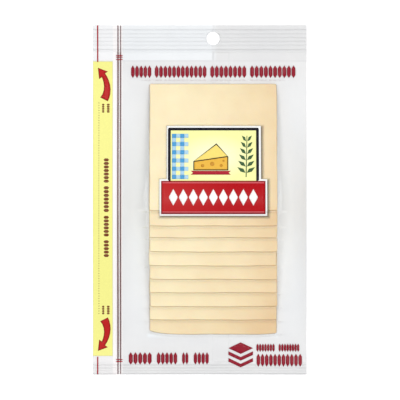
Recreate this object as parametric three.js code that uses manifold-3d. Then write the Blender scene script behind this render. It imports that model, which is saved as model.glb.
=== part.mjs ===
// A sealed clear film pack of ten thin square cheese slices, laid on its back with its front up.
// Sizes are in millimetres. X runs across the pack, Y from its foot up to its header, Z up from the table.
// The slices overlap like roof tiles and the film is drawn tight over them. The film can't be taken off
// without opening the pack, so the filled pack is one closed solid with a hole for a peg in its header.
import * as THREE from "three";
import { mergeVertices } from "three/addons/utils/BufferGeometryUtils.js";
import Module from "manifold-3d";

// The film. Its front and back meet in a fold on the right and crimped seals at the ends, with a zipper
// along the left.
const packWidth = 156;
const packLength = 255;
const flatThick = 0.8; // front and back film together, where nothing lies between them
const headerSeal = 19;
const headerBand = 6.5; // the plain band between the header's crimps and the cheese
const footSeal = 8.4;
const pegHole = { radius: 5, x: 9.6, fromTop: 9.8, sides: 40 };

// The crimps pressed across both seals, counted from the inner edge of the seal.
const headerCrimps = { grooves: 6, first: 1.1, pitch: 2.9, half: 0.75, deep: 0.28 };
const footCrimps = { grooves: 4, first: 1.1, pitch: 2.1, half: 0.55, deep: 0.22 };

// The double zipper, two tracks side by side along the left of the pack.
const zipper = { tracks: [-59.7, -57.8], wide: 1.0, crown: 0.5, high: 0.55, crushed: 0.3 };

// The slices. Each one lies a pitch further up the pack than the one below it.
const slice = { count: 10, wide: 94, long: 94, thick: 2.3, pitch: 10 };
const stackMiddle = 9.8;
const stackFoot = -98.3;
const handLaid = [0, 0.6, 0.3, 0.5, 0.3, 0.1, 0.3, 0.6, -0.8, 0.3]; // how far each slice is off its place

// How the film leaves the table and the slices.
const drape = 2.4; // run of the film from a slice's edge down to the slice below it
const bend = 20; // the longest run over which the slices above bend down past a slice's covered end
const stepFade = 0.7; // share of the way out to the pack's edge over which the steps fade
const cheeseGap = 2; // flat back film left beside the stack before it lifts
const liftCurve = 1.4;
const rightLift = 6.5;
const leftLift = 5;
const leftDroop = 1.2;
const endLift = { header: 1.1, foot: 0.7, corners: 1.6 };

const packLeft = -packWidth / 2;
const packRight = packWidth / 2;
const packFoot = -packLength / 2;
const packTop = packLength / 2;
const headerFoot = packTop - headerSeal;
const bandFoot = headerFoot - headerBand;
const footTop = packFoot + footSeal;
const stackLeft = stackMiddle - slice.wide / 2;
const stackRight = stackMiddle + slice.wide / 2;
const zipLine = zipper.tracks[1] + zipper.wide;
const stackHigh = slice.count * slice.thick;

const share = (value, from, to) => THREE.MathUtils.clamp((value - from) / (to - from), 0, 1);
const eased = (value, from, to) => THREE.MathUtils.smoothstep(value, from, to);
const mix = THREE.MathUtils.lerp;

const frontEdge = (k) => stackFoot + k * slice.pitch + handLaid[k];
const backEdge = (k) => frontEdge(k) + slice.long;
const topSlice = slice.count - 1;
const stackEnd = backEdge(topSlice);

// Height of the film over the back at y. It steps up from slice to slice and slopes down over the far ends,
// where each slice has come down by the end of the top one.
function overSlices(y) {
  let height = 0;
  for (let k = 0; k < slice.count; k++) {
    const up = share(y, frontEdge(k) - drape, frontEdge(k));
    const run = Math.min(bend, stackEnd - backEdge(k));
    const down =
      k === topSlice
        ? share(y, stackEnd, stackEnd + drape)
        : eased(y, backEdge(k), backEdge(k) + run);
    height += slice.thick * (up - down);
  }
  return height;
}

// The same height with the steps pulled straight, as the film beside the stack has it.
function overSlope(y) {
  const rise = stackHigh * share(y, frontEdge(0) - slice.pitch, frontEdge(topSlice));
  return Math.min(rise, Math.max(overSlices(y), overSlices(Math.max(y, frontEdge(topSlice)))));
}

// How far the back film stands off the table: nothing under the cheese, more towards the edges.
function backFilm(x, y) {
  const filled = eased(overSlope(y), 0, stackHigh);
  const right = share(x, stackRight + cheeseGap, packRight);
  const left = share(-x, cheeseGap - stackLeft, -zipLine);
  const beyondZip = share(-x, -zipLine, -packLeft);
  const lift = rightLift * right ** liftCurve + leftLift * left ** liftCurve;
  const sides = filled * (lift - leftDroop * beyondZip ** 2);
  const outwards = (x / packRight) ** 2;
  const header = eased(y, stackEnd + drape, packTop) * (endLift.header + endLift.corners * outwards);
  const foot = eased(-y, drape - stackFoot, -packFoot) * (endLift.foot + endLift.corners * outwards);
  return sides + header + foot;
}

function grooveAt(distance, half, deep) {
  return deep * Math.max(0, 1 - Math.abs(distance) / half);
}

const headerGroove = (n) => headerFoot + headerCrimps.first + n * headerCrimps.pitch;
const footGroove = (n) => footTop - footCrimps.first - n * footCrimps.pitch;

// Depth of the crimps at y.
function crimps(y) {
  let depth = 0;
  for (let n = 0; n < headerCrimps.grooves; n++)
    depth += grooveAt(y - headerGroove(n), headerCrimps.half, headerCrimps.deep);
  for (let n = 0; n < footCrimps.grooves; n++)
    depth += grooveAt(y - footGroove(n), footCrimps.half, footCrimps.deep);
  return depth;
}

// Height that the zipper's two tracks raise the film by. They are crushed flat inside the seals.
function zipperRidges(x, y) {
  const high = y > headerFoot || y < footTop ? zipper.high * zipper.crushed : zipper.high;
  const slope = (zipper.wide - zipper.crown) / 2;
  return zipper.tracks.reduce((sum, track) => {
    const fromCrown = Math.abs(x - track) - zipper.crown / 2;
    return sum + high * (1 - share(fromCrown, 0, slope));
  }, 0);
}

// The front of the pack. Over the cheese it steps with the slices, and beside them it runs straight.
function frontFilm(x, y) {
  const left = share(-x, -stackLeft, -zipLine);
  const right = share(x, stackRight, packRight - flatThick);
  const away = Math.max(left, right);
  const height = mix(overSlices(y), overSlope(y), eased(away, 0, stepFade)) * (1 - away);
  return backFilm(x, y) + flatThick + height + zipperRidges(x, y) - crimps(y);
}

// Values evenly spaced from one place to another, both ends included.
function spaced(from, to, steps) {
  return Array.from({ length: steps + 1 }, (_, i) => mix(from, to, i / steps));
}

// Grid lines in order, without those that fall on one another.
function gridLines(...groups) {
  const closest = 0.12;
  const sorted = groups.flat().sort((a, b) => a - b);
  return sorted.filter((value, i) => i === 0 || value - sorted[i - 1] > closest);
}

function zipperLines() {
  return zipper.tracks.flatMap((track) =>
    [-zipper.wide, -zipper.crown, zipper.crown, zipper.wide].map((width) => track + width / 2),
  );
}

function grooveLines(groove, { grooves, half }) {
  return Array.from({ length: grooves }, (_, n) => [groove(n) - half, groove(n), groove(n) + half]).flat();
}

const across = gridLines(
  [packRight],
  spaced(packLeft, zipper.tracks[0] - zipper.wide / 2, 4),
  zipperLines(),
  spaced(zipLine, stackLeft, 6),
  spaced(stackLeft, stackRight, 6),
  spaced(stackRight, packRight - flatThick, 6),
);

const edges = Array.from({ length: slice.count }, (_, k) => frontEdge(k));
const sliceLines = edges.flatMap((edge) => [edge - drape, edge]);

const along = gridLines(
  [packFoot, footTop, headerFoot, packTop],
  grooveLines(footGroove, footCrimps),
  spaced(footTop, stackFoot - drape, 3),
  sliceLines,
  spaced(frontEdge(topSlice), stackEnd, 12),
  spaced(stackEnd + drape, bandFoot, 3),
  grooveLines(headerGroove, headerCrimps),
);

// Closes the front and the back film round their shared edges into one skin.
function closedSkin(xs, ys) {
  const places = [];
  for (const film of [frontFilm, backFilm])
    for (const y of ys) for (const x of xs) places.push(x, y, film(x, y));
  const front = (row, column) => row * xs.length + column;
  const back = (row, column) => (ys.length + row) * xs.length + column;
  const faces = [];
  const quad = (a, b, c, d) => faces.push(a, b, c, a, c, d);
  const lastRow = ys.length - 1;
  const lastColumn = xs.length - 1;
  for (let row = 0; row < lastRow; row++) {
    for (let column = 0; column < lastColumn; column++) {
      quad(front(row, column), front(row, column + 1), front(row + 1, column + 1), front(row + 1, column));
      quad(back(row, column), back(row + 1, column), back(row + 1, column + 1), back(row, column + 1));
    }
    const next = row + 1;
    quad(front(row, 0), front(next, 0), back(next, 0), back(row, 0));
    quad(front(next, lastColumn), front(row, lastColumn), back(row, lastColumn), back(next, lastColumn));
  }
  for (let column = 0; column < lastColumn; column++) {
    const next = column + 1;
    quad(front(0, column), back(0, column), back(0, next), front(0, next));
    quad(front(lastRow, next), back(lastRow, next), back(lastRow, column), front(lastRow, column));
  }
  const skin = new THREE.BufferGeometry();
  skin.setAttribute("position", new THREE.Float32BufferAttribute(places, 3));
  skin.setIndex(faces);
  return skin;
}

const wasm = await Module();
wasm.setup();

function toManifold(geometry) {
  const bare = new THREE.BufferGeometry();
  bare.setAttribute("position", geometry.getAttribute("position"));
  bare.setIndex(geometry.getIndex());
  const merged = mergeVertices(bare, 1e-4);
  return new wasm.Manifold(
    new wasm.Mesh({
      numProp: 3,
      vertProperties: merged.attributes.position.array,
      triVerts: new Uint32Array(merged.index.array),
    }),
  );
}

function toGeometry(manifold) {
  const mesh = manifold.getMesh();
  const geometry = new THREE.BufferGeometry();
  geometry.setAttribute("position", new THREE.Float32BufferAttribute(mesh.vertProperties, mesh.numProp));
  geometry.setIndex(Array.from(mesh.triVerts));
  geometry.computeVertexNormals();
  return geometry;
}

// The punch that cuts the peg hole through both films.
function pegPunch() {
  const reach = 20;
  const punch = new THREE.CylinderGeometry(pegHole.radius, pegHole.radius, reach, pegHole.sides);
  punch.rotateX(Math.PI / 2);
  punch.translate(pegHole.x, packTop - pegHole.fromTop, 0);
  return punch;
}

const filledPack = toManifold(closedSkin(across, along)).subtract(toManifold(pegPunch()));

const creamFilm = new THREE.MeshStandardMaterial({ color: 0xf3e6c8, roughness: 0.35, metalness: 0 });
const cheesePack = new THREE.Mesh(toGeometry(filledPack), creamFilm);
cheesePack.name = "cheese_pack";

const group = new THREE.Group();
group.add(cheesePack);

export default group;
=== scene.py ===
import math

import bpy
import numpy as np
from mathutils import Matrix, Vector
from mathutils.geometry import delaunay_2d_cdt


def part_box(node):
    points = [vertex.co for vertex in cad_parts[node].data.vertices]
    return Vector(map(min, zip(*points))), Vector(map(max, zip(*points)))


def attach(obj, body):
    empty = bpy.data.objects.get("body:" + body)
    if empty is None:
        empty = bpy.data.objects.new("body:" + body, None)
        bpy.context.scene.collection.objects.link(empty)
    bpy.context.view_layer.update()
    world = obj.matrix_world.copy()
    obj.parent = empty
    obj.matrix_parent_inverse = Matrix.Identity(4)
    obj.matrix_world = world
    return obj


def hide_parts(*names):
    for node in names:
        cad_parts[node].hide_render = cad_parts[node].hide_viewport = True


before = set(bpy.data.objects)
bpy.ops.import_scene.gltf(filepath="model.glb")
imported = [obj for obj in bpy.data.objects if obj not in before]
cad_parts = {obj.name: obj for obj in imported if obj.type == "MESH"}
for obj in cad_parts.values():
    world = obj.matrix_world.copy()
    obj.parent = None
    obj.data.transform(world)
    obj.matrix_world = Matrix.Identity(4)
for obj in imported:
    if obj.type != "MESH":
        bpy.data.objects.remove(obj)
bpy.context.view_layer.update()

mm = 0.001

# The pack lies on its back: X across it, Y from the foot seal up to the header, Z out of its front.
packLow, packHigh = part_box("cheese_pack")

pack = {
    "seatHeight": 0.55 * mm,    # underside of the cheese over the table
    "frontOverBack": 0.8 * mm,  # top of the front film over the table where the pack is empty
    "filmThick": 0.1 * mm,
    "backThick": 0.2 * mm,
    "headerSeal": 19 * mm,
    "footSeal": 8.4 * mm,
    "sealRise": 0.45 * mm,      # rise of the back film in a seal, where it meets the front one
    "sealBlend": 1.5 * mm,
}

# The pile of slices. Each one lies a pitch further up the pack than the one below it.
stack = {
    "wide": 94 * mm,            # room that the film leaves for the pile
    "slice": 92.7 * mm,         # width and length of one slice
    "long": 94 * mm,
    "thick": 2.3 * mm,
    "pitch": 10 * mm,
    "middle": 9.8 * mm,
    "foot": -98.3 * mm,
    "bend": 20 * mm,            # longest run over which slices bend down past the end of the one below
    "drape": 2.4 * mm,          # run of the film from a slice's edge down to the next slice
    "handLaid": [0, 0.6, 0.3, 0.5, 0.3, 0.1, 0.3, 0.6, -0.8, 0.3],      # mm up the pack
    "sideways": [-0.2, 0.1, 0.2, 0.1, 0, -0.4, 0, 0.1, -0.1, 0],        # mm to the right
    # mm that the ends of the front edge turn up
    "leftTurnUp": [2.7, 0.3, 0.1, -0.1, 0.2, 0.7, 0.3, 0.1, 0.1, 0.2],
    "rightTurnUp": [0.8, 0, 0.3, 0.1, -0.5, 0.3, 0.1, 0, 0.1, 0.2],
}

# How the film stands off the table beside the cheese and at both ends.
lift = {
    "cheeseGap": 2 * mm,
    "curve": 1.4,
    "right": 6.5 * mm,
    "left": 5 * mm,
    "leftDroop": 1.2 * mm,
    "header": 1.1 * mm,
    "foot": 0.7 * mm,
    "corners": 1.6 * mm,
    "stepFade": 0.7,            # share of the way out over which the slices' steps fade
}

zipper = {
    "tracks": [-59.7 * mm, -57.8 * mm],
    "wide": 1.0 * mm,
    "high": 0.55 * mm,
    "crushed": 0.3,             # share of that height left inside the seals
}

crimps = {
    "headerPlaces": [109.2, 112.4, 115.2, 117.9, 120.6, 123.7],
    "headerDepths": [0.7, 0.44, 0.5, 0.46, 0.5, 0.72],
    "footPlaces": [-120.8, -123.0, -125.1, -127.1],
    "footDepths": [0.5, 0.45, 0.26, 0.6],
    "headerHalf": 0.85 * mm,
    "footHalf": 0.6 * mm,
}

pegHole = {"x": 9.7 * mm, "y": 117.8 * mm, "radius": 4.75 * mm}
backSeam = {"from": 9.8 * mm, "to": 21 * mm, "thick": 0.25 * mm}    # the back film's own seam, folded flat
foldBead = {"wide": 1.3 * mm, "high": 0.14 * mm}                    # the crease along the right edge

studioLight = 1.12  # how brightly the studio lights a level surface, where 1 is white on the screen

sliceCount = len(stack["handLaid"])
topSlice = sliceCount - 1
topEdge = stack["foot"] + topSlice * stack["pitch"]
stackLeft = stack["middle"] - stack["wide"] / 2 - 0.2 * mm
stackRight = stack["middle"] + stack["wide"] / 2 + 0.3 * mm
stackHigh = sliceCount * stack["thick"]
zipLine = zipper["tracks"][1] + zipper["wide"]
headerFoot = packHigh.y - pack["headerSeal"]
footTop = packLow.y + pack["footSeal"]


def share(value, start, end):
    return np.clip((value - start) / (end - start), 0, 1)


def eased(value, start, end):
    t = share(value, start, end)
    return t * t * (3 - 2 * t)


def mix(low, high, amount):
    return low + (high - low) * amount


def frontEdge(k, x):
    # where slice k's near edge is at x: nearly straight, with ends that turn up a little
    across = (x - stack["middle"]) / (stack["wide"] / 2)
    ends = np.where(across < 0, stack["leftTurnUp"][k], stack["rightTurnUp"][k]) * np.abs(across) ** 5
    waver = 0.1 * np.sin(x / (9 * mm) + 1.7 * k) + 0.06 * np.sin(x / (3.7 * mm) + 2.9 * k)
    return stack["foot"] + k * stack["pitch"] + (stack["handLaid"][k] + ends + waver) * mm


def backEdge(k):
    return stack["foot"] + k * stack["pitch"] + stack["handLaid"][k] * mm + stack["long"]


def bendRun(k):
    # run over which what lies on slice k comes down past its covered end, done by the end of the top slice
    return stack["drape"] if k == topSlice else min(stack["bend"], backEdge(topSlice) - backEdge(k))


def sliceSeat(k, x, y):
    # height of slice k's underside over the lowest one's
    seat = 0 * (x + y)
    for below in range(k):
        seat = seat + stack["thick"] * (1 - eased(y, backEdge(below), backEdge(below) + bendRun(below)))
    return seat


def overSlices(x, y):
    # height of the film over an empty pack as it steps from slice to slice
    height = 0 * (x + y)
    for k in range(sliceCount):
        edge = frontEdge(k, x)
        up = eased(y, edge - stack["drape"], edge)
        height = height + stack["thick"] * (up - eased(y, backEdge(k), backEdge(k) + bendRun(k)))
    return height


def overSlope(x, y):
    # the same with the steps pulled straight
    rise = stackHigh * share(y, stack["foot"] - stack["pitch"], topEdge)
    return np.where(y < topEdge, rise, overSlices(x, np.maximum(y, topEdge)))


def filmLift(x, y):
    filled = eased(overSlope(0 * x + stack["middle"], y), 0, stackHigh)
    right = share(x, stackRight + lift["cheeseGap"], packHigh.x)
    left = share(-x, lift["cheeseGap"] - stackLeft, -zipLine)
    beyondZip = share(-x, -zipLine, -packLow.x)
    sides = lift["right"] * right ** lift["curve"] + lift["left"] * left ** lift["curve"]
    outwards = (x / packHigh.x) ** 2
    header = eased(y, backEdge(topSlice) + stack["drape"], packHigh.y)
    foot = eased(-y, stack["drape"] - stack["foot"], -packLow.y)
    corners = lift["corners"] * outwards
    ends = header * (lift["header"] + corners) + foot * (lift["foot"] + corners)
    return filled * (sides - lift["leftDroop"] * beyondZip ** 2) + ends


def crimpDepth(y):
    depth = 0 * y
    for rows, half in (("header", crimps["headerHalf"]), ("foot", crimps["footHalf"])):
        for place, deep in zip(crimps[rows + "Places"], crimps[rows + "Depths"]):
            depth = depth + deep * mm * (1 - eased(np.abs(y - place * mm), 0, half))
    return depth


def sealed(x, y):
    # 1 where the front and back film are sealed together
    soft = pack["sealBlend"]
    header = eased(y, headerFoot - soft, headerFoot)
    foot = eased(-y, -footTop - soft, -footTop)
    margin = eased(-x, -zipper["tracks"][0] + 1.5 * mm, -zipper["tracks"][0] + 1.5 * mm + soft)
    return np.maximum(np.maximum(header, foot), margin)


def overSeam(x):
    edge = 0.5 * mm
    return (eased(x, backSeam["from"] - edge, backSeam["from"])
            - eased(x, backSeam["to"], backSeam["to"] + edge))


def backUnder(x, y):
    # underside of the back film, whose seam alone touches the table
    fold = share(x, packHigh.x - foldBead["wide"], packHigh.x) ** 2
    rise = mix(backSeam["thick"] * (1 - overSeam(x)), pack["sealRise"], sealed(x, y))
    return filmLift(x, y) + rise + 0.1 * mm * fold - crimpDepth(y)


def zipperRidges(x, y):
    inSeal = np.maximum(eased(y, headerFoot - 2 * mm, headerFoot), eased(-y, -footTop - 2 * mm, -footTop))
    high = zipper["high"] * mix(1, zipper["crushed"], inSeal)
    ridges = 0 * (x + y)
    for track in zipper["tracks"]:
        aside = np.abs(x - track) / zipper["wide"]
        ridges = ridges + high * (1 - eased(aside, 0.28, 0.62))
    return ridges


# Soft creases that the film's own tension pulls: from, to, half width and height, in mm.
creases = [
    ((-38, 87), (-55, 104), 2.4, 0.35),
    ((-37, 80), (-56, 88), 2.0, 0.25),
    ((58, 87), (73, 106), 2.6, 0.38),
    ((58, 78), (75, 84), 2.0, 0.25),
    ((58, -6), (76, 6), 2.6, 0.4),
    ((58, -12), (75, -22), 2.2, 0.3),
    ((-38, -7), (-56, 4), 2.4, 0.38),
    ((-38, -14), (-56, -26), 2.0, 0.28),
    ((58, -99), (74, -114), 2.4, 0.35),
    ((-38, -99), (-54, -115), 2.4, 0.35),
    ((-12, 91), (-17, 106), 1.8, 0.14),
    ((22, 91), (25, 107), 2.0, 0.12),
    ((40, 92), (45, 107), 1.7, 0.13),
    ((-20, -104), (-23, -117), 1.8, 0.12),
    ((30, -104), (33, -118), 2.0, 0.14),
]

# and where each slice's front corners hold it up: how far down the pack each one runs on its way out
cornerFans = {"right": [4, 7, 2, 5, 3, 8, 2, 6, 3, -3], "left": [6, 3, 5, 2, 7, 3, 5, 2, 4, -4]}
for k in range(sliceCount):
    y = (stack["foot"] + k * stack["pitch"]) / mm - 0.6
    creases.append(((56, y + 1), (74, y - cornerFans["right"][k]), 1.3, 0.2))
    creases.append(((-36, y + 1), (-54, y - cornerFans["left"][k]), 1.3, 0.2))


def creased(x, y):
    height = 0 * (x + y)
    for (startX, startY), (endX, endY), half, high in creases:
        alongX, alongY = endX - startX, endY - startY
        length = math.hypot(alongX, alongY)
        along = ((x / mm - startX) * alongX + (y / mm - startY) * alongY) / length ** 2
        aside = ((x / mm - startX) * alongY - (y / mm - startY) * alongX) / length
        taper = eased(along, -0.05, 0.3) * (1 - eased(along, 0.5, 1.1))
        height = height + high * mm * taper * np.exp(-(aside / half) ** 2)
    return height


def frontTop(x, y):
    # outer surface of the front film
    left = share(-x, -stackLeft, -zipLine)
    right = share(x, stackRight, packHigh.x - pack["frontOverBack"])
    away = np.maximum(left, right)
    height = mix(overSlices(x, y), overSlope(x, y), eased(away, 0, lift["stepFade"])) * (1 - away)
    bead = share(x, packHigh.x - foldBead["wide"] * 2, packHigh.x - foldBead["wide"])
    fold = share(x, packHigh.x - foldBead["wide"], packHigh.x)
    edge = foldBead["high"] * bead * (1 - fold) * (1 - 0.7 * sealed(x, y)) - 0.25 * mm * fold ** 2
    groove = eased(-np.abs(x - backSeam["from"]), -1 * mm, 0)
    seam = 0.2 * mm * groove * eased(y, headerFoot - 9 * mm, headerFoot - 7 * mm)
    return (filmLift(x, y) + pack["frontOverBack"] + height + edge - seam + zipperRidges(x, y)
            + creased(x, y) * (1 - sealed(x, y)) - crimpDepth(y))


# Meshes

def meshPiece(name, points, faces, material, smooth=True):
    mesh = bpy.data.meshes.new(name)
    mesh.from_pydata([tuple(p) for p in points], [], [tuple(f) for f in faces])
    mesh.materials.append(material)
    if smooth:
        mesh.shade_smooth()
    piece = bpy.data.objects.new(name, mesh)
    bpy.context.scene.collection.objects.link(piece)
    return piece


def pointValues(piece, name, values):
    # a value at each point, which the piece's material reads
    numbers = piece.data.attributes.new(name, "FLOAT", "POINT").data
    numbers.foreach_set("value", values.astype(np.float32))


def closedSheet(flat, faces, top, bottom):
    # a flat layout of counterclockwise faces, given a top, an underside and walls round its borders
    count = len(flat)
    points = np.vstack([np.column_stack([flat, top]), np.column_stack([flat, bottom])])
    sides = {}
    for face in faces:
        for a, b in zip(face, face[1:] + face[:1]):
            sides[(a, b)] = True
    walls = [(a, a + count, b + count, b) for a, b in sides if (b, a) not in sides]
    under = [tuple(count + i for i in reversed(face)) for face in faces]
    return points, faces + under + walls


def crossLines(start, end, coarse, fineZones):
    # places of grid lines from start to end, closer together inside each (from, to, step) zone
    stops = sorted({start, end, *(stop for zone in fineZones for stop in zone[:2] if start < stop < end)})
    lines = []
    for low, high in zip(stops, stops[1:]):
        steps = [zone[2] for zone in fineZones if zone[0] <= (low + high) / 2 <= zone[1]]
        count = max(1, math.ceil((high - low) / min([coarse] + steps) - 1e-6))
        lines += list(np.linspace(low, high, count, endpoint=False))
    return np.array(lines + [end])


def filmLayout(xs, ys):
    # grid over the whole pack without the peg hole, whose nearest corners are drawn in to a true circle
    across, along = np.meshgrid(xs, ys)
    flat = np.column_stack([across.ravel(), along.ravel()])
    offset = flat - [pegHole["x"], pegHole["y"]]
    distance = np.hypot(*offset.T)
    wide = len(xs)
    faces, rim = [], set()
    for row in range(len(ys) - 1):
        for column in range(wide - 1):
            a = row * wide + column
            face = (a, a + 1, a + wide + 1, a + wide)
            nearest = min(distance[i] for i in face)
            if nearest > pegHole["radius"]:
                faces.append(face)
            else:
                rim.update(face)
    kept = {i for face in faces for i in face}
    for i in rim & kept:
        flat[i] = [pegHole["x"], pegHole["y"]] + offset[i] / distance[i] * pegHole["radius"]
    order = {old: new for new, old in enumerate(sorted(kept))}
    return flat[sorted(kept)], [tuple(order[i] for i in face) for face in faces]


def isInside(ring, points):
    # even-odd test of many points against one closed outline
    ring, points = np.asarray(ring), np.asarray(points)
    found = np.zeros(len(points), bool)
    for (ax, ay), (bx, by) in zip(ring, np.roll(ring, -1, 0)):
        crosses = (ay > points[:, 1]) != (by > points[:, 1])
        with np.errstate(divide="ignore", invalid="ignore"):
            at = ax + (points[:, 1] - ay) * (bx - ax) / (by - ay)
        found ^= crosses & (points[:, 0] < at)
    return found


def cutOut(rings, inner, holes=()):
    # triangles that fill the first ring, with the other rings and the inner points as corners
    points, edges = [], []
    for ring in [*rings, *holes]:
        first = len(points)
        points += [tuple(p) for p in ring]
        edges += [(first + i, first + (i + 1) % len(ring)) for i in range(len(ring))]
    points += [tuple(p) for p in inner]
    # the triangulation is exact to about a thousandth of the unit, so it works in millimetres
    corners = [Vector((x / mm, y / mm)) for x, y in points]
    placed, _, faces, source, _, _ = delaunay_2d_cdt(corners, edges, [], 1, 1e-4)
    flat = np.array([tuple(p) for p in placed]) * mm
    centres = np.array([flat[list(face)].mean(0) for face in faces])
    keep = isInside(rings[0], centres)
    for hole in holes:
        keep &= ~isInside(hole, centres)
    faces = [tuple(face) for face, kept in zip(faces, keep) if kept]
    return flat, faces, [min(ids) if ids else -1 for ids in source]


def arc(x, y, radius, start, end, parts=10):
    angles = [math.radians(mix(start, end, n / parts)) for n in range(parts + 1)]
    return [(x + radius * math.cos(angle), y + radius * math.sin(angle)) for angle in angles]


def roundedRectangle(low, high, radius, inset=0, step=1.5 * mm):
    # outline of a rectangle with round corners, drawn in by inset
    radius = max(radius - inset, 0.15 * mm)
    lowX, lowY, highX, highY = (low[0] + inset + radius, low[1] + inset + radius,
                                high[0] - inset - radius, high[1] - inset - radius)
    corners = [(highX, lowY, -90), (highX, highY, 0), (lowX, highY, 90), (lowX, lowY, 180)]
    ring = [p for x, y, start in corners for p in arc(x, y, radius, start, start + 90, 6)]
    return resampled(ring, step)


def resampled(ring, step):
    # the same outline with no side longer than step
    points = []
    for (ax, ay), (bx, by) in zip(ring, ring[1:] + ring[:1]):
        count = max(1, math.ceil(math.hypot(bx - ax, by - ay) / step))
        points += [(mix(ax, bx, i / count), mix(ay, by, i / count)) for i in range(count)]
    return points


def joined(parts):
    # several (points, faces) shells as one
    points, faces, first = [], [], 0
    for some, theirs in parts:
        points.append(some)
        faces += [tuple(first + i for i in face) for face in theirs]
        first += len(some)
    return np.vstack(points), faces


# Materials

class Wire:
    # an output socket that can stand in a Python expression
    def __init__(self, tree, socket):
        self.tree = tree
        self.socket = socket

    def node(self, kind, settings=None, feeds=None, output=0):
        made = self.tree.nodes.new(kind)
        for name, value in (settings or {}).items():
            if name == "stops":
                ramp = made.color_ramp
                while len(ramp.elements) < len(value):
                    ramp.elements.new(0.5)
                for element, (place, colour) in zip(ramp.elements, value):
                    element.position = place
                    element.color = (*colour, 1)
            else:
                setattr(made, name, value)
        for name, value in (feeds or {}).items():
            feed(self.tree, made.inputs[name], value)
        return Wire(self.tree, made.outputs[output])

    def maths(self, operation, *values):
        return self.node("ShaderNodeMath", {"operation": operation}, dict(enumerate(values)))

    def __add__(self, other):
        return self.maths("ADD", self, other)

    def __radd__(self, other):
        return self.maths("ADD", other, self)

    def __sub__(self, other):
        return self.maths("SUBTRACT", self, other)

    def __rsub__(self, other):
        return self.maths("SUBTRACT", other, self)

    def __mul__(self, other):
        return self.maths("MULTIPLY", self, other)

    def __rmul__(self, other):
        return self.maths("MULTIPLY", other, self)

    def __pow__(self, other):
        return self.maths("POWER", self, other)

    def __rpow__(self, other):
        return self.maths("POWER", other, self)

    def axis(self, n):
        return self.node("ShaderNodeSeparateXYZ", {}, {0: self}, output=n)

    def awayFrom(self, place):
        return self.maths("ABSOLUTE", self - place)

    def orMore(self, other):
        return self.maths("MAXIMUM", self, other)

    def clipped(self, low, high):
        # 0 below low, 1 above high, straight between
        return self.node("ShaderNodeMapRange", {"clamp": True}, {0: self, 1: low, 2: high, 3: 0.0, 4: 1.0})

    def blend(self, low, high):
        # low colour where this is 0, high colour where it is 1
        return self.node("ShaderNodeMix", {"data_type": "RGBA"}, {0: self, 6: low, 7: high}, output=2)

    def noise(self, size, detail=2.0, rough=0.5):
        # smooth noise about 0.5 whose blobs are about that many metres across
        feeds = {"Vector": self, "Scale": 1 / size, "Detail": detail, "Roughness": rough}
        return self.node("ShaderNodeTexNoise", {}, feeds)

    def bump(self, height, depth, under=None):
        feeds = {"Height": height, "Distance": depth, "Strength": 1.0}
        if under:
            feeds["Normal"] = under
        return self.node("ShaderNodeBump", {}, feeds)


def feed(tree, socket, value):
    if isinstance(value, Wire):
        tree.links.new(value.socket, socket)
    elif isinstance(value, tuple) and len(value) == 3 and socket.type == "RGBA":
        socket.default_value = (*value, 1)
    else:
        socket.default_value = value


def linear(*seen):
    # red, green and blue as seen on a screen, 0 to 255, as the light that makes them
    return tuple(v / 255 / 12.92 if v <= 10 else ((v / 255 + 0.055) / 1.055) ** 2.4 for v in seen)


def paint(red, green, blue):
    # the surface colour that looks so in the studio's light
    return tuple(min(1.0, value / studioLight) for value in linear(red, green, blue))


def newFinish(name, **plain):
    # a material with its shader's plain values set, and the place on the piece to build patterns from
    material = bpy.data.materials.new(name)
    material.use_nodes = True
    tree = material.node_tree
    shader = next(node for node in tree.nodes if node.type == "BSDF_PRINCIPLED")
    for socket, value in plain.items():
        feed(tree, shader.inputs[socket.replace("_", " ")], value)
    place = Wire(tree, tree.nodes.new("ShaderNodeTexCoord").outputs["Object"])
    return material, shader, place


def wire(shader, socket, value):
    feed(shader.id_data, shader.inputs[socket], value)


def cheeseFinish():
    cheese = {
        "body": paint(255, 242, 203),
        "deep": paint(235, 205, 159),
        "rind": paint(206, 170, 118),     # the cut edge: a little drier, and painted shade that draws the dark line along each slice's edge
        "mottle": 17 * mm,
        "grain": 0.9 * mm,
    }
    material, shader, place = newFinish(
        "cheese_finish", IOR=1.45, Subsurface_Weight=0.3, Subsurface_Radius=(1.0, 0.62, 0.3),
        Subsurface_Scale=1.6 * mm, Specular_IOR_Level=0.3)
    tone = place.node("ShaderNodeAttribute", {"attribute_name": "tone"}, output=2)
    rind = place.node("ShaderNodeAttribute", {"attribute_name": "rind"}, output=2)
    clouds = place.noise(cheese["mottle"], 3.0).clipped(0.3, 0.72)
    # painted shade: the cheese deepens in colour towards the pile's right side, as if the light fell from
    # the left
    across = place.axis(0).clipped(stackLeft, stackRight)
    body = (clouds * 0.22 + tone + across ** 2 * 0.58).blend(cheese["body"], cheese["deep"])
    wire(shader, "Base Color", (rind * 0.8).blend(body, cheese["rind"]))
    grain = place.noise(cheese["grain"], 3.0)
    wire(shader, "Roughness", 0.36 + grain * 0.16)
    dents = place.bump(place.noise(11 * mm, 1.0), 0.25 * mm)
    wire(shader, "Normal", place.bump(grain, 0.012 * mm, dents))
    return material


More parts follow.
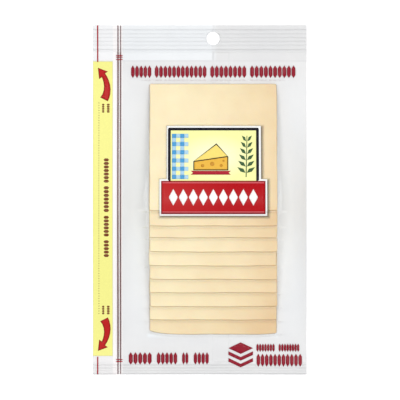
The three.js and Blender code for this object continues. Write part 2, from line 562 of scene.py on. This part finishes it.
def backFilmFinish():
    # whiter behind the zipper. Painted light lifts the pile's shadow beside the cheese and under its foot
    # edge, and lightens the header left of its own seam; painted shade darkens the header right of that seam
    back = {
        "pale": paint(235, 235, 235),
        "shade": paint(229, 229, 230),
        "white": paint(254, 250, 250),
        "whiteFrom": (-63.6 * mm, -63.0 * mm),
        "whiteTo": (-56.9 * mm, -56.0 * mm),
        "outside": 0.35,                        # share of the white that is left beyond whiteFrom
        "tight": (0.89, 0.95, 1.0),
        "seam": paint(214, 214, 216),
        "bandEdge": 101.4 * mm,
    }
    material, shader, place = newFinish("back_film_finish", IOR=1.5)
    x, y = place.axis(0), place.axis(1)
    half = stack["wide"] / 2
    fromMiddle = x.awayFrom(stack["middle"])
    beside = 1 - fromMiddle.clipped(half, 70 * mm)
    tall = 1 - y.awayFrom(-10 * mm).clipped(20 * mm, 100 * mm)
    inside = x.clipped(*back["whiteFrom"]) * (1 - back["outside"]) + back["outside"]
    band = inside * (1 - x.clipped(*back["whiteTo"]))
    grey = place.noise(30 * mm, 2.0).clipped(0.3, 0.7).blend(back["pale"], back["shade"])
    seam = 1 - x.awayFrom(backSeam["from"]).clipped(0.2 * mm, 1.2 * mm)
    inHeader = y.clipped(headerFoot - 8 * mm, headerFoot - 6 * mm)
    bandEdge = 1 - y.awayFrom(back["bandEdge"]).clipped(0.2 * mm, 0.9 * mm)
    beyondSeam = x.clipped(backSeam["from"], backSeam["from"] + 3 * mm)
    # the seam's line and the line at bandEdge, and painted shade over the header right of the seam
    linesAndShade = ((seam * 0.7).orMore(beyondSeam * 0.2) * inHeader).orMore(bandEdge * 0.5)
    atFoot = 1 - y.awayFrom(stack["foot"] - 0.5 * mm).clipped(0.5 * mm, 3 * mm)
    underStack = 1 - fromMiddle.clipped(half, half + 3 * mm)
    # painted light: whiter beside the pile of cheese and under its foot edge, where the pile's shadow falls
    tight = (beside ** 0.6 * tall).orMore(atFoot * underStack * 0.5)
    # and painted light over the header left of the seam
    whiter = tight.orMore(inHeader * (1 - beyondSeam) * 0.32)
    backing = linesAndShade.blend(whiter.blend(grey, back["tight"]), back["seam"])
    wire(shader, "Base Color", band.blend(backing, back["white"]))
    fine = place.noise(0.7 * mm, 2.0)
    wire(shader, "Roughness", 0.4 + fine * 0.15)
    ripple = place.bump(place.noise(9 * mm, 2.0), 0.25 * mm)
    wire(shader, "Normal", place.bump(fine, 0.01 * mm, ripple))
    return material


def clearFilmFinish():
    # most of the light passes. The rest is a faint haze seen from straight above, and mirrored at a slant
    film = {"haze": 0.01, "sealHaze": 0.07, "shine": 0.18}
    material, shader, place = newFinish("clear_film_finish", Base_Color=linear(246, 247, 248), IOR=1.5)
    inHeader = place.axis(1).clipped(headerFoot - pack["sealBlend"], headerFoot)
    inFoot = 1 - place.axis(1).clipped(footTop, footTop + pack["sealBlend"])
    slant = place.node("ShaderNodeFresnel", {}, {"IOR": 1.42})
    wire(shader, "Alpha", film["haze"] + (inHeader + inFoot) * film["sealHaze"] + slant * film["shine"])
    wire(shader, "Metallic", slant.clipped(0.03, 0.16))
    scuffs = place.noise(6 * mm, 3.0)
    wire(shader, "Roughness", 0.11 + scuffs.clipped(0.4, 0.75) * 0.06)
    wire(shader, "Normal", place.bump(place.noise(16 * mm, 1.0), 0.15 * mm))
    return material


def inkFinish(name, seen, lighter=None, centre=None, reach=None, gloss=0.16):
    # slightly uneven ink. lighter is its colour at centre, and reach is how fast that fades each way
    material, shader, place = newFinish(
        name, IOR=1.5, Specular_IOR_Level=gloss, Coat_Weight=gloss / 3, Coat_Roughness=0.12)
    uneven = place.noise(1.3 * mm, 2.0)
    base = colour = paint(*seen)
    if lighter:
        offset = place.node("ShaderNodeVectorMath", {"operation": "SUBTRACT"}, {0: place, 1: centre})
        squeezed = place.node("ShaderNodeVectorMath", {"operation": "MULTIPLY"}, {0: offset, 1: reach})
        distance = place.node("ShaderNodeVectorMath", {"operation": "LENGTH"}, {0: squeezed}, output=1)
        base = distance.clipped(0.1, 1.0).blend(paint(*lighter), colour)
    thin = tuple(min(1.0, value * 1.12 + 0.012) for value in colour)
    wire(shader, "Base Color", (uneven.clipped(0.42, 0.75) * 0.35).blend(base, thin))
    wire(shader, "Roughness", 0.2 + uneven * 0.08)
    return material


def zipperFinish():
    material, shader, place = newFinish("zipper_finish", IOR=1.5, Coat_Weight=0.3)
    streaks = place.noise(5 * mm, 2.0)
    wire(shader, "Base Color", streaks.clipped(0.3, 0.7).blend(paint(104, 20, 30), paint(84, 14, 26)))
    wire(shader, "Roughness", 0.3 + streaks * 0.15)
    return material


def finished(piece):
    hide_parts("cheese_pack")
    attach(piece, "root")


# The two films

filmColumns = crossLines(packLow.x, packHigh.x, 1.7 * mm, [
    (packLow.x, packLow.x + 0.6 * mm, 0.2 * mm),
    (zipper["tracks"][0] - 1.1 * mm, zipper["tracks"][1] + 1.1 * mm, 0.2 * mm),
    (stackLeft - 2.5 * mm, stackLeft + 0.5 * mm, 0.4 * mm),
    (stackRight - 0.5 * mm, stackRight + 2.5 * mm, 0.4 * mm),
    (pegHole["x"] - 5.6 * mm, pegHole["x"] + 5.6 * mm, 0.55 * mm),
    (packHigh.x - 3 * foldBead["wide"], packHigh.x, 0.3 * mm),
])
stepZones = [(float(frontEdge(k, stack["middle"])) - stack["drape"] - 0.5 * mm,
              float(frontEdge(k, stack["middle"])) + 0.8 * mm, 0.37 * mm) for k in range(sliceCount)]
filmRows = crossLines(packLow.y, packHigh.y, 1.7 * mm, stepZones + [
    (packLow.y, footTop + 1 * mm, 0.27 * mm),
    (backEdge(topSlice) - 0.5 * mm, backEdge(topSlice) + stack["drape"] + 0.5 * mm, 0.4 * mm),
    (headerFoot - 2 * mm, packHigh.y, 0.4 * mm),
])


def frontFilm():
    flat, faces = filmLayout(filmColumns, filmRows)
    top = frontTop(*flat.T)
    points, faces = closedSheet(flat, faces, top, top - pack["filmThick"])
    finished(meshPiece("front_film", points, faces, clearFilmFinish()))


def backFilm():
    columns = crossLines(packLow.x, packHigh.x, 2.6 * mm, [
        (packLow.x, packLow.x + 0.6 * mm, 0.2 * mm),
        (backSeam["from"] - 0.8 * mm, backSeam["from"] + 0.3 * mm, 0.25 * mm),
        (backSeam["to"] - 0.3 * mm, backSeam["to"] + 0.8 * mm, 0.25 * mm),
        (pegHole["x"] - 5.6 * mm, pegHole["x"] + 5.6 * mm, 0.7 * mm),
        (zipper["tracks"][0] - 3.5 * mm, zipper["tracks"][0] - 1 * mm, 0.5 * mm),
        (packHigh.x - 2 * foldBead["wide"], packHigh.x, 0.4 * mm),
    ])
    rows = crossLines(packLow.y, packHigh.y, 2.6 * mm, [
        (packLow.y, footTop + 1 * mm, 0.27 * mm),
        (headerFoot - 2 * mm, packHigh.y, 0.4 * mm),
    ])
    flat, faces = filmLayout(columns, rows)
    under = backUnder(*flat.T)
    points, faces = closedSheet(flat, faces, under + pack["backThick"], under)
    finished(meshPiece("back_film", points, faces, backFilmFinish()))


# The cheese

def cheeseSlice(k, material):
    # drops are how far the top has come down, in mm, at each inset from the cut edge
    cut = {
        "corner": 1.3 * mm,
        "insets": [0, 0.16, 0.3, 0.37, 0.45, 0.6, 0.95],
        "drops": [1.9, 1.0, 0.28, 0.12, 0.04, 0.01, 0],
        "spacing": 3.2 * mm,
        "rind": ([0.04, 0.28, 1.0, 1.9], [0, 1, 0.8, 0.3]),     # mm below the top, and how much of the dark edge colour lies there
        "tones": [0.3, 0.1, 0.03, 0.06, 0.05, 0, -0.04, 0.12, 0.16, 0.02],
        "endTone": [0.4, 0.3, 0.35, 0.1, 0.1, 0.15, 0.2, 0.05, 0.35, 0.1],
    }
    straight = stack["foot"] + k * stack["pitch"] + stack["handLaid"][k] * mm
    left = stack["middle"] - stack["slice"] / 2 + stack["sideways"][k] * mm
    right = left + stack["slice"]
    low, high = (left, straight), (right, straight + stack["slice"])

    def placed(ring):
        # the slice's own outline: its front edge as it was laid, its sides a little uneven
        ring = np.array(ring)
        nearFront = 1 - eased(ring[:, 1], straight + 8 * mm, straight + 30 * mm)
        shift = frontEdge(k, ring[:, 0]) - straight
        waver = 0.13 * np.sin(ring[:, 1] / (8 * mm) + 2.1 * k) + 0.07 * np.sin(ring[:, 1] / (3.1 * mm) + k)
        return np.column_stack([ring[:, 0] + waver * mm, ring[:, 1] + shift * nearFront])

    rings = [placed(roundedRectangle(low, high, cut["corner"], inset * mm)) for inset in cut["insets"]]
    across = np.arange(low[0] + 3 * mm, high[0] - 2.4 * mm, cut["spacing"])
    along = np.arange(low[1] + 3 * mm, high[1] - 2.4 * mm, cut["spacing"])
    inner = [(x, y) for y in along for x in across]
    flat, faces, source = cutOut(rings, inner)
    ringOf = [n for n, ring in enumerate(rings) for _ in ring]
    ringOf = np.array([ringOf[i] if 0 <= i < len(ringOf) else len(rings) for i in source])
    drop = np.array(cut["drops"] + [0])[ringOf] * mm
    x, y = flat.T
    seat = pack["seatHeight"] + sliceSeat(k, x, y) + 0.04 * mm
    points, faces = closedSheet(flat, faces, seat + stack["thick"] - 0.05 * mm - drop, seat)
    piece = meshPiece(f"cheese_slice_{k + 1:02d}", points, faces, material)
    toEnd = np.hypot((x - right) / (14 * mm), (y - straight) / (9 * mm))
    tone = np.tile(cut["tones"][k] + cut["endTone"][k] * np.exp(-toEnd ** 2), 2)
    # painted shade along the cut edge, strongest just under its top, together with the drier edge's colour
    rind = np.tile(np.interp(drop / mm, *cut["rind"]), 2)
    pointValues(piece, "tone", tone)
    pointValues(piece, "rind", rind)
    finished(piece)


# The print: thin shells of ink that follow the front film, each a little higher than what is under it.

printing = {"inkThick": 0.03 * mm, "first": 0.07 * mm, "step": 0.05 * mm}

filmAcross, filmAlong = np.meshgrid(filmColumns, filmRows)
filmPlaces = np.column_stack([filmAcross.ravel(), filmAlong.ravel()])


def onFilm(shapes, level):
    # shells over the film, one in each outline, with short sides where the film has crimps or a step
    height = printing["first"] + level * printing["step"]
    shells = []
    for outline in shapes:
        low, high = np.min(outline, 0), np.max(outline, 0)
        overStep = low[1] < topEdge < high[1] and high[0] > stackLeft
        uneven = low[1] < footTop or high[1] > headerFoot or overStep
        ring = resampled([tuple(p) for p in outline], 0.3 * mm if uneven else 0.9 * mm)
        near = filmPlaces[((filmPlaces > low + 0.1 * mm) & (filmPlaces < high - 0.1 * mm)).all(1)]
        inner = near[isInside(outline, near)] if len(near) else near
        flat, faces, _ = cutOut([ring], inner)
        seat = frontTop(*flat.T) + height
        shells.append(closedSheet(flat, faces, seat + printing["inkThick"], seat))
    return joined(shells)


def printed(name, shapes, level, material):
    finished(meshPiece(name, *onFilm(shapes, level), material))


def millimetres(ring):
    return [(x * mm, y * mm) for x, y in ring]


def rectangle(left, foot, right, head):
    return millimetres([(left, foot), (right, foot), (right, head), (left, head)])


def grown(ring, distance):
    # a counterclockwise outline moved outwards
    ring = np.asarray(ring)
    bisector = 0
    for side in (ring - np.roll(ring, 1, 0), np.roll(ring, -1, 0) - ring):
        bisector = bisector + np.column_stack([side[:, 1], -side[:, 0]]) / np.hypot(*side.T)[:, None]
    stretch = np.minimum(2 / np.maximum((bisector ** 2).sum(1), 0.1), 1.6)
    return [tuple(p) for p in ring + distance * bisector * stretch[:, None]]


def lozengeRow(left, right, middle, high, count, upright=False, straight=0.52):
    # six-sided lozenges in a row, or in a column where upright. straight is the share of high between points
    pitch = (right - left) / count
    shapes = []
    for n in range(count):
        at = left + pitch * (n + 0.5)
        wide, tall, side = pitch * 0.42, high / 2, high * straight / 2
        ring = [(at - wide, middle - side), (at, middle - tall), (at + wide, middle - side),
                (at + wide, middle + side), (at, middle + tall), (at - wide, middle + side)]
        if upright:
            ring = [(y, x) for x, y in reversed(ring)]
        shapes.append(millimetres(ring))
    return shapes


def mirrored(ring, middle):
    return [(x, 2 * middle * mm - y) for x, y in reversed(ring)]


def tearStrip():
    strip = {
        "field": (-77.95, -113.9, -63.6, 101.0),
        "edgeLine": (-74.95, -74.05),
        "arrow": [(-74.4, 96.4), (-73.5, 88.1), (-71.6, 89.5), (-70.8, 87.6), (-70.2, 85.3), (-69.9, 82.6),
                  (-70.2, 79.7), (-71.1, 77.0), (-72.7, 74.7), (-67.1, 71.9), (-66.0, 74.4), (-65.3, 77.4),
                  (-65.1, 80.4), (-65.4, 83.6), (-66.3, 86.8), (-67.5, 89.7), (-69.1, 92.3), (-67.1, 93.7)],
        "arrowMirror": -6.97,
        "arrowRim": 0.55,
        # foot, head, middle, width and count of each column of lozenges
        "columns": [(63.5, 70.2, -70.5, 1.9, 5), (63.5, 70.2, -66.8, 2.3, 5), (-83.7, -77.2, -70.5, 1.9, 5),
                    (-83.7, -77.2, -66.8, 2.3, 5), (-41.9, -29.3, -68.15, 4.1, 5),
                    (-26.9, -11.5, -68.15, 4.1, 6), (-9.1, 10.1, -68.15, 4.1, 7),
                    (12.3, 30.4, -68.15, 4.1, 7)],
    }
    printed("tear_strip", [rectangle(*strip["field"])], 0,
            inkFinish("yellow_ink", (246, 243, 146), gloss=0.05))
    low, high = strip["edgeLine"]
    red = inkFinish("red_ink", (176, 30, 46))
    lines = [rectangle(low, strip["field"][3] - 0.4, high, 127.3),
             rectangle(low, -127.3, high, strip["field"][1] - 0.6)]
    printed("margin_lines", lines, 1, red)
    outer = millimetres(strip["arrow"])
    core = grown(outer, -strip["arrowRim"] * mm)
    outers = [outer, mirrored(outer, strip["arrowMirror"])]
    cores = [core, mirrored(core, strip["arrowMirror"])]
    printed("arrow_rims", outers, 1, inkFinish("brown_ink", (140, 46, 26)))
    printed("arrows", cores, 2, inkFinish("arrow_ink", (190, 36, 36), gloss=0.05))
    columns = [lozengeRow(*column, upright=True) for column in strip["columns"]]
    printed("strip_lozenges", [shape for column in columns for shape in column], 1,
            inkFinish("strip_ink", (124, 66, 34)))


def zipperTicks():
    ticks = {"from": -61.1, "to": -56.4, "thick": 0.6, "places": [105.3, 104.1, 102.4, -116.6, -118.0]}
    half = ticks["thick"] / 2
    shapes = [rectangle(ticks["from"], y - half, ticks["to"], y + half) for y in ticks["places"]]
    printed("zipper_ticks", shapes, 1, inkFinish("tick_ink", (176, 30, 46)))


def lozengeBands():
    # rows of lozenges at the head and foot of the pack, and a small pile of slices drawn beside them
    rows = [
        # middle and height, then left end, right end and count of each run
        (93.5, 9.2, [(-50.4, -35.2, 5), (-33.1, 5.1, 12), (7.4, 34.1, 8), (36.5, 70.1, 10)]),
        (-115.8, 9.1, [(-52.1, -34.9, 5), (-31.6, -16.3, 5), (-13.1, -8.2, 2), (-4.6, 6.7, 4)]),
        (-108.0, 6.0, [(41.2, 54.8, 7), (57.4, 72.8, 8)]),
        (-117.1, 9.5, [(41.2, 74.8, 11)]),
    ]
    pile = {"left": 20.9, "right": 38.8, "foot": -122.3, "high": 8.4, "rise": 4.9, "count": 3,
            "thick": 2.6}
    shapes = []
    for place, high, runs in rows:
        for left, right, count in runs:
            shapes += lozengeRow(left, right, place, high, count)
    middle, half = (pile["left"] + pile["right"]) / 2, pile["high"] / 2
    for n in range(pile["count"]):
        y = pile["foot"] + n * pile["rise"]
        below = [(pile["left"], y + half), (middle, y), (pile["right"], y + half)]
        above = [(x, at + pile["thick"]) for x, at in reversed(below)]
        if n == pile["count"] - 1:
            above = [(middle, y + 2 * half)]
        shapes.append(millimetres(below + above))
    printed("lozenge_bands", shapes, 0, inkFinish("dark_red_ink", (146, 12, 38)))


def sign():
    # the printed panel in the middle: a framed pale field over a red band
    panel = {
        "field": (-24.0, 13.0, 44.4, 53.7),
        "frame": (-23.1, 13.7, 42.9, 52.4),
        "frameWide": 2.0,
        "band": (-28.0, -10.4, 47.6, 13.7),
        "bandBorder": 1.25,
        "bandRim": 0.65,
        "lozenges": (-22.8, 42.4, 1.8, 12, 9),      # left, right, middle, height and count
    }
    white = inkFinish("white_ink", (250, 250, 248))
    navy = inkFinish("navy_ink", (16, 15, 28))
    left, foot, right, head = panel["field"]
    bandLeft, bandFoot, bandRight, bandHead = panel["band"]
    border = panel["bandBorder"]
    board = millimetres([
        (bandLeft - border, bandFoot - border), (bandRight + border, bandFoot - border),
        (bandRight + border, bandHead + border), (right, bandHead + border), (right, head), (left, head),
        (left, bandHead + border), (bandLeft - border, bandHead + border)])
    printedShadow(board)
    printed("sign_board", [board], 1, white)
    left, foot, right, head = panel["frame"]
    outer = roundedRectangle((left * mm, foot * mm), (right * mm, head * mm), 1.2 * mm)
    printed("sign_frame", [outer], 2, navy)
    wide = panel["frameWide"]
    inner = rectangle(left + wide, foot, right - wide, head - wide)
    centre, reach = ((left + right) / 2 * mm, 31 * mm, 0), (33, 60, 0)
    field = inkFinish("field_ink", (250, 250, 172), (255, 253, 226), centre, reach)
    printed("sign_field", [inner], 3, field)
    rim = panel["bandRim"]
    printed("sign_band_rim", [rectangle(*panel["band"])], 3,
            inkFinish("rim_ink", (138, 14, 28)))
    # painted highlight: the band's red is lighter at its left end, as if the lights' sheen fell there
    centre, reach = (-30 * mm, 3 * mm, 0), (18, 24, 0)
    bandInk = inkFinish("band_ink", (180, 10, 22), (192, 40, 42), centre, reach, 0.08)
    bandCore = rectangle(bandLeft + rim, bandFoot + rim, bandRight - rim, bandHead - rim)
    printed("sign_band", [bandCore], 4, bandInk)
    lines = [rectangle(bandLeft + 1, y - 0.3, bandRight - 1, y + 0.3)
             for y in (bandHead - 1.4, bandFoot + 1.6)]
    printed("sign_band_lines", lines, 5, inkFinish("pink_ink", (224, 112, 120)))
    printed("sign_lozenges", lozengeRow(*panel["lozenges"], straight=0.08), 5, white)
    signCloth()
    signWedge(navy)
    signSprig()


def signCloth():
    checks = {"left": -20.2, "foot": 15.0, "size": 3.0, "across": 4, "up": 11, "gap": 0.04}
    size = checks["size"] - checks["gap"]
    solid, half = [], []
    for row in range(checks["up"]):
        for column in range(checks["across"]):
            x = checks["left"] + column * checks["size"]
            y = checks["foot"] + row * checks["size"]
            square = rectangle(x, y, x + size, y + size)
            if row % 2 == 0 and column % 2 == 0:
                solid.append(square)
            elif row % 2 == 0 or column % 2 == 0:
                half.append(square)
    printed("sign_checks_blue", solid, 4, inkFinish("blue_ink", (79, 162, 220)))
    printed("sign_checks_pale", half, 4, inkFinish("pale_blue_ink", (178, 216, 238)))


def signWedge(navy):
    # a wedge of cheese on a ribbon
    wedge = {
        "outline": [(-4, 22), (20, 22), (20, 31), (12, 40), (-4, 27.5)],
        "rim": 0.7,
        "side": [(-4, 22), (20, 22), (20, 31), (-4, 27.5)],
        "top": [(-4, 28.2), (20, 31.7), (12, 40)],
        "holes": [(2, 24.8, 1.2), (9, 26.0, 1.6), (15.5, 24.9, 1.1), (17.2, 28.3, 0.8)],
        "ribbon": [(-6.5, 18.2), (22.5, 18.2), (20.9, 19.6), (22.5, 21.0), (-6.5, 21.0), (-4.9, 19.6)],
    }
    outline, side, top, ribbon = (millimetres(wedge[part]) for part in ("outline", "side", "top", "ribbon"))
    holes = [millimetres(arc(*hole, 0, 330, 11)) for hole in wedge["holes"]]
    printed("sign_wedge_rim", [grown(outline, wedge["rim"] * mm)], 4, navy)
    printed("sign_wedge_side", [side], 5, inkFinish("wedge_side_ink", (238, 186, 70)))
    printed("sign_wedge_top", [top], 5, inkFinish("wedge_top_ink", (252, 226, 120)))
    printed("sign_wedge_holes", holes, 6, inkFinish("wedge_hole_ink", (206, 146, 44)))
    printed("sign_ribbon", [ribbon], 5, inkFinish("ribbon_ink", (176, 30, 46)))


def signSprig():
    # a stem with pairs of leaves that shorten towards its tip
    sprig = {"root": (33.55, 16.5), "tip": (34.25, 46.5), "thick": 0.7, "pairs": 6, "first": 19.5,
             "pitch": 4.6, "longest": 6.0, "shorter": 0.55, "gap": 0.45}
    (rootX, rootY), (tipX, tipY) = sprig["root"], sprig["tip"]
    half = sprig["thick"] / 2
    stem = millimetres([(rootX - half, rootY), (rootX + half, rootY),
                        (tipX + 0.25, tipY), (tipX - 0.25, tipY)])
    leaves = []
    for n in range(sprig["pairs"]):
        y = sprig["first"] + n * sprig["pitch"]
        long = sprig["longest"] - n * sprig["shorter"]
        for way in (-1, 1):
            start = mix(rootX, tipX, (y - rootY) / (tipY - rootY)) + way * sprig["gap"]
            leaf = [(start, y), (start + way * long * 0.6, y + 0.9), (start + way * long, y + 4.2),
                    (start + way * long * 0.25, y + 3.0)]
            leaves.append(millimetres(leaf if way > 0 else leaf[::-1]))
    printed("sign_sprig", leaves + [stem], 4, inkFinish("green_ink", (62, 96, 59)))


def printedShadow(board):
    # a soft grey edge round the board, solid at its outline and clear at the outside
    soft = {"right": 0.8 * mm, "down": 0.7 * mm, "wide": 2.4 * mm, "rings": 4, "dark": 0.34,
            "under": 0.6 * mm, "hole": 1.4 * mm}    # how far the fade and its hole start under the board
    outline = [(x + soft["right"], y - soft["down"]) for x, y in board]
    spread = [soft["wide"] * n / soft["rings"] - soft["under"] for n in range(soft["rings"] + 1)]
    rings = [resampled(grown(outline, distance), 0.5 * mm) for distance in reversed(spread)]
    fadeOf = [ring for ring, points in enumerate(rings) for _ in points]
    hole = resampled(grown(outline, -soft["hole"]), 0.5 * mm)
    flat, faces, source = cutOut(rings, [], [hole])
    fade = np.array([fadeOf[i] / soft["rings"] if 0 <= i < len(fadeOf) else 1.0 for i in source])
    seat = frontTop(*flat.T) + printing["first"] - printing["step"] / 2
    points, faces = closedSheet(flat, faces, seat + printing["inkThick"], seat)
    material, shader, place = newFinish("sign_shadow_finish", Base_Color=paint(70, 60, 52), Roughness=0.6)
    strength = place.node("ShaderNodeAttribute", {"attribute_name": "fade"}, output=2)
    wire(shader, "Alpha", strength ** 1.6 * soft["dark"])
    piece = meshPiece("sign_shadow", points, faces, material)
    pointValues(piece, "fade", np.tile(fade, 2))
    finished(piece)


# The zipper

def zipperTracks():
    # two flat ribs between the films, swept along the pack just under the front one
    rib = {"wides": [0.9 * mm, 0.75 * mm], "thick": 0.16 * mm, "spine": 0.5 * mm, "under": 0.03 * mm}
    material = zipperFinish()
    ends = packLow.y + 0.3 * mm, packHigh.y - 0.3 * mm
    for n, track in enumerate(zipper["tracks"]):
        rows = filmRows[(filmRows > ends[0]) & (filmRows < ends[1])]
        for part, wide, thick, below in (("rib", rib["wides"][n], rib["thick"], 0),
                                         ("spine", rib["spine"], 0.3 * mm, rib["thick"] - 0.02 * mm)):
            between = (rows > footTop + 3 * mm) & (rows < headerFoot - 3 * mm)
            along = rows if part == "rib" else rows[between]
            x = np.full(len(along), track)
            height = frontTop(x, along) - pack["filmThick"] - rib["under"] - below - thick / 2
            path = list(zip(x, along, height))
            finished(swept(f"zipper_{part}_{n + 1}", path, wide, thick, material))


def swept(name, path, wide, thick, material):
    # a flat bar along a path of points
    guide, across, deep = pathTree(name, "Wide", "Thick")
    curve = guide.node("GeometryNodeMeshToCurve", {}, {"Mesh": guide})
    level = curve.node("GeometryNodeSetCurveNormal", {"mode": "Z_UP"}, {"Curve": curve})
    outline = across.node("GeometryNodeCurvePrimitiveQuadrilateral", {}, {"Width": across, "Height": deep})
    bar = level.node("GeometryNodeCurveToMesh", {},
                     {"Curve": level, "Profile Curve": outline, "Fill Caps": True})
    return evaluated(name, path, bar, material, {"Wide": wide, "Thick": thick})


def pathTree(name, *sizes):
    # an empty node group with its inputs: a line of points, and numbers of the names given
    tree = bpy.data.node_groups.new(name + "_maker", "GeometryNodeTree")
    for label in ("Path", *sizes):
        kind = "NodeSocketFloat" if label in sizes else "NodeSocketGeometry"
        tree.interface.new_socket(label, in_out="INPUT", socket_type=kind)
    tree.interface.new_socket("Made", in_out="OUTPUT", socket_type="NodeSocketGeometry")
    given = tree.nodes.new("NodeGroupInput")
    return [Wire(tree, given.outputs[label]) for label in ("Path", *sizes)]


def evaluated(name, path, shape, material, values):
    # runs a node group over a line through the points, and keeps what it makes as a plain mesh
    tree = shape.tree
    made = shape.node("GeometryNodeRealizeInstances", {}, {"Geometry": shape})
    coated = made.node("GeometryNodeSetMaterial", {}, {"Geometry": made, "Material": material})
    tree.links.new(coated.socket, tree.nodes.new("NodeGroupOutput").inputs[0])
    line = bpy.data.meshes.new(name + "_path")
    line.from_pydata([tuple(p) for p in path], [(i, i + 1) for i in range(len(path) - 1)], [])
    guide = bpy.data.objects.new(name + "_path", line)
    bpy.context.scene.collection.objects.link(guide)
    nodes = guide.modifiers.new("maker", "NODES")
    nodes.node_group = tree
    for item in tree.interface.items_tree:
        if item.in_out == "INPUT" and item.name in values:
            nodes[item.identifier] = values[item.name]
    mesh = bpy.data.meshes.new_from_object(guide.evaluated_get(bpy.context.evaluated_depsgraph_get()))
    mesh.name = name
    bpy.data.objects.remove(guide)
    piece = bpy.data.objects.new(name, mesh)
    bpy.context.scene.collection.objects.link(piece)
    return piece


def tearLine():
    # the row of dots that the strip is torn along
    dots = {"x": -73.6 * mm, "from": 70.7 * mm, "to": -83.3 * mm, "pitch": 1.83 * mm,
            "radius": 0.34 * mm, "thick": 0.06 * mm}
    y = np.arange(dots["from"], dots["to"], -dots["pitch"])
    x = np.full(len(y), dots["x"])
    path = list(zip(x, y, frontTop(x, y) + printing["first"] + 1.5 * printing["step"]))
    places, radius, thick = pathTree("tear_line", "Radius", "Thick")
    dot = radius.node("GeometryNodeMeshCylinder", {}, {"Vertices": 10, "Radius": radius, "Depth": thick})
    row = dot.node("GeometryNodeInstanceOnPoints", {}, {"Points": places, "Instance": dot})
    ink = inkFinish("dot_ink", (140, 128, 66))
    piece = evaluated("tear_line", path, row, ink, {"Radius": dots["radius"], "Thick": dots["thick"]})
    finished(piece)


# Stage, light and camera

def studio():
    studioLook = {
        "floor": linear(252, 252, 252),
        "floorGlow": 0.3,
        "ambient": 0.6,
        # name, place, watts and size of each softbox
        "softboxes": [("left_key_light", (-0.48, 0.38, 1.85), 10.2, 0.7),
                      ("right_key_light", (0.48, 0.38, 1.85), 8.6, 0.7),
                      ("fill_light", (0.6, -0.8, 1.3), 2.6, 0.8),
                      ("rim_light", (0.25, 1.35, 0.5), 1.4, 0.5)],
    }
    scene = bpy.context.scene
    scene.view_settings.view_transform = "Standard"
    world = bpy.data.worlds.new("studio_world")
    world.use_nodes = True
    background = next(node for node in world.node_tree.nodes if node.type == "BACKGROUND")
    background.inputs["Color"].default_value = (1, 1, 1, 1)
    background.inputs["Strength"].default_value = studioLook["ambient"]
    scene.world = world

    material, shader, place = newFinish(
        "floor_finish", Roughness=0.9, Specular_IOR_Level=0.1,
        Emission_Color=(1.0, 1.0, 1.0), Emission_Strength=studioLook["floorGlow"])
    wire(shader, "Base Color", place.noise(0.4).blend(studioLook["floor"], linear(250, 250, 250)))
    reach, low = 4, -0.06 * mm
    corners = [(-reach, -reach, low), (reach, -reach, low), (reach, reach, low), (-reach, reach, low)]
    meshPiece("floor", corners, [(0, 1, 2, 3)], material, smooth=False)

    for name, spot, power, size in studioLook["softboxes"]:
        lamp = bpy.data.lights.new(name, "AREA")
        lamp.energy = power
        lamp.size = size
        light = bpy.data.objects.new(name, lamp)
        light.location = spot
        light.rotation_euler = (-Vector(spot)).to_track_quat("-Z", "Y").to_euler()
        scene.collection.objects.link(light)


def photoCamera():
    view = {"across": 292 * mm, "lens": 300, "sensor": 36, "middle": (0.15 * mm, -0.15 * mm),
            "plane": 1.5 * mm}
    camera = bpy.data.cameras.new("camera")
    camera.lens = view["lens"]
    camera.sensor_width = view["sensor"]
    shot = bpy.data.objects.new("camera", camera)
    distance = view["across"] * view["lens"] / view["sensor"]
    shot.location = (*view["middle"], view["plane"] + distance)
    bpy.context.scene.collection.objects.link(shot)
    bpy.context.scene.camera = shot


print("films")
frontFilm()
backFilm()

print("slices")
cheese = cheeseFinish()
for k in range(sliceCount):
    cheeseSlice(k, cheese)

print("zipper")
zipperTracks()
zipperTicks()

print("print")
tearStrip()
tearLine()
lozengeBands()
sign()

print("studio")
studio()
photoCamera()
